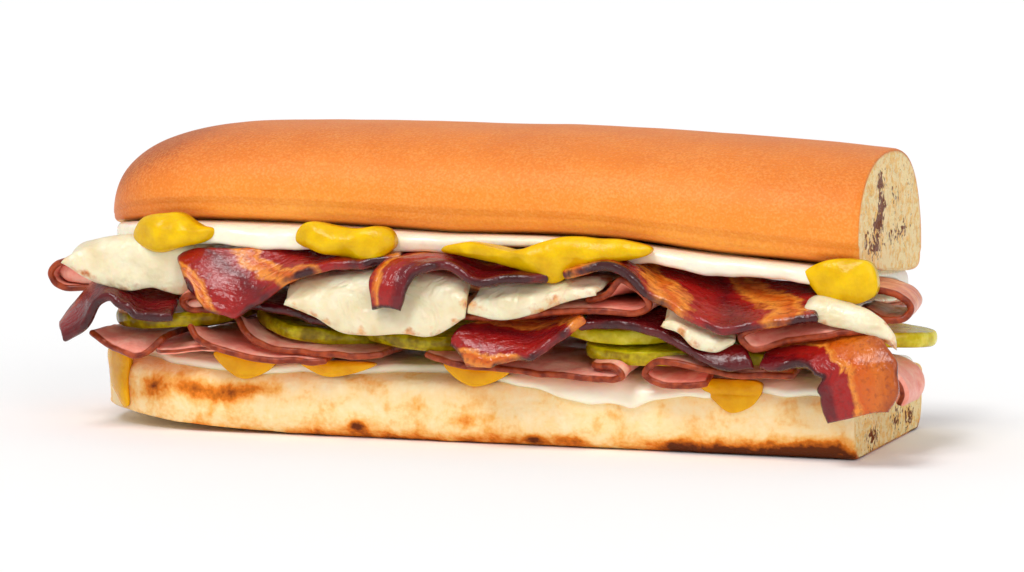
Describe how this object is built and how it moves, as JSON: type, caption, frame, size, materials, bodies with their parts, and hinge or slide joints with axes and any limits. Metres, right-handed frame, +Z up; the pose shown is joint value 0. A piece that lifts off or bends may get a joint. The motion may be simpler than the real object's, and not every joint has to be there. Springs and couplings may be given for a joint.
{
  "type": "submarine sandwich",
  "caption": "Half of a long soft roll, round at one end and cut at the other, filled with ham, bacon, melted cheese, pickle slices, mayonnaise and mustard.",
  "frame": {"origin": "middle of the flat underside of the lower bun, on the surface it stands on", "axes": "+X along the roll towards the cut end, -Y towards the eater, +Z up"},
  "size_m": [0.2193, 0.0896, 0.0739],
  "materials": {
    "crust": "smooth baked crust, golden orange-brown with a soft sheen, pale crumb at the cut",
    "pale_crust": "pale soft crust with toasted patches, brown along the base, pale crumb at the cut",
    "mayo": "smooth glossy off-white spread",
    "mustard": "smooth glossy yellow sauce",
    "ham": "moist pink slice with a thin brown rim",
    "pickle": "wet olive green slice with a darker skin",
    "bacon": "glossy fried rasher, deep red lean with orange fat and dark edges",
    "cheese": "melted cream-white slice, browned in spots along its edge"
  },
  "bodies": {
    "root": {"bottom_bun": "pale_crust", "top_bun": "crust", "bacon_upper_1": "bacon", "bacon_upper_2": "bacon", "bacon_upper_3": "bacon", "bacon_lower_1": "bacon", "bacon_lower_2": "bacon", "bacon_lower_3": "bacon", "bacon_lower_4": "bacon", "bacon_lower_5": "bacon", "bacon_back_1": "bacon", "bacon_back_2": "bacon", "bacon_back_3": "bacon", "cheese_1": "cheese", "cheese_2": "cheese", "cheese_3": "cheese", "cheese_4": "cheese", "cheese_5": "cheese", "ham_upper_1": "ham", "ham_upper_2": "ham", "ham_upper_3": "ham", "ham_upper_4": "ham", "ham_end_loop": "ham", "ham_lower_1": "ham", "ham_lower_2": "ham", "ham_lower_3": "ham", "ham_lower_4": "ham", "ham_lower_5": "ham", "ham_lower_6": "ham", "ham_end_fold": "ham", "pickle_1": "pickle", "pickle_2": "pickle", "pickle_3": "pickle", "pickle_4": "pickle", "pickle_5": "pickle", "pickle_6": "pickle", "pickle_7": "pickle", "pickle_8": "pickle", "pickle_9": "pickle", "pickle_10": "pickle", "pickle_11": "pickle", "mustard_upper_1": "mustard", "mustard_upper_2": "mustard", "mustard_upper_3": "mustard", "mustard_upper_4": "mustard", "mustard_lower_1": "mustard", "mustard_lower_2": "mustard", "mustard_lower_3": "mustard", "mustard_lower_4": "mustard", "mustard_lower_5": "mustard", "mayo_upper": "mayo", "mayo_lower": "mayo"}
  },
  "joints": []
}
